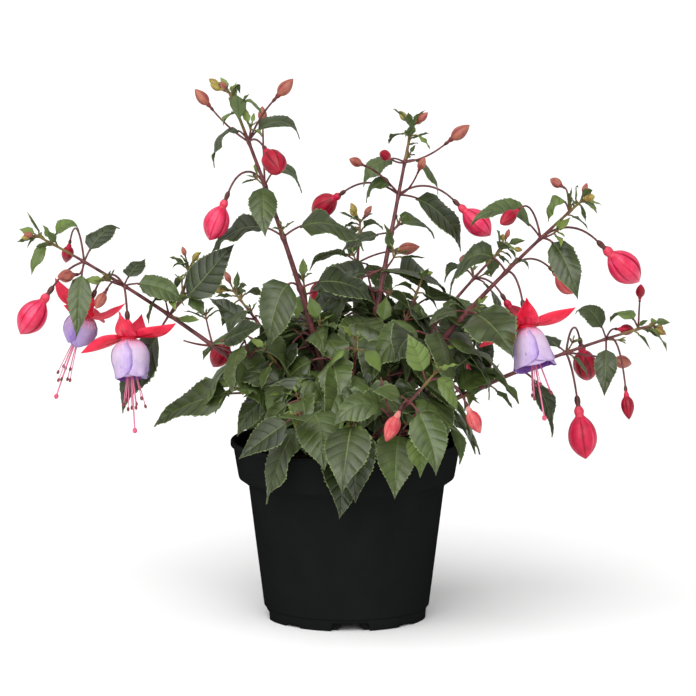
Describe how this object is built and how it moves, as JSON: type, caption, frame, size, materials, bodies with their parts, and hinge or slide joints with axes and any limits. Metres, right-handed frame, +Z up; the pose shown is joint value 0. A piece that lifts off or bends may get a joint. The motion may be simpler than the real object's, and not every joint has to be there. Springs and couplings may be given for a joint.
{
  "type": "potted fuchsia",
  "caption": "Flowering fuchsia in a round black nursery pot: arching leafy stems on a short woody stump, with hanging buds and open flowers.",
  "frame": {"origin": "centre of the pot's flat underside, on the ground", "axes": "+Z up, -Y out of the plant's front, +X to the viewer's right, which is the crown's longest way"},
  "size_m": [0.365, 0.2217, 0.3059],
  "materials": {
    "pot": "satin black",
    "compost": "damp and crumbly",
    "bark": "reddish brown, dull",
    "foliage": "satin green"
  },
  "bodies": {
    "root": {"pot": "pot", "compost": "compost", "trunk": "bark", "bough_left": "bark", "bough_upper_left": "bark", "bough_middle": "bark", "bough_upper_right": "bark", "bough_right": "bark", "bough_front": "bark", "bough_front_left": "bark", "bough_front_middle": "bark", "bough_front_right": "bark", "bough_low_left": "bark", "bough_low_right": "bark", "bough_back_left": "bark", "bough_back_middle": "bark", "bough_back_right": "bark", "bough_low_back_left": "bark", "bough_low_back_right": "bark", "bough_inner_upper_left": "bark", "bough_inner_upper_right": "bark", "foliage_left": "foliage", "foliage_upper_left": "foliage", "foliage_middle": "foliage", "foliage_upper_right": "foliage", "foliage_right": "foliage", "foliage_front": "foliage", "foliage_front_left": "foliage", "foliage_front_middle": "foliage", "foliage_front_right": "foliage", "foliage_low_left": "foliage", "foliage_low_right": "foliage", "foliage_back_left": "foliage", "foliage_back_middle": "foliage", "foliage_back_right": "foliage", "foliage_low_back_left": "foliage", "foliage_low_back_right": "foliage", "foliage_inner_upper_left": "foliage", "foliage_inner_upper_right": "foliage", "foliage_inner_left": "foliage", "foliage_inner_front": "foliage", "foliage_inner_right": "foliage", "foliage_inner_back": "foliage"}
  },
  "joints": []
}
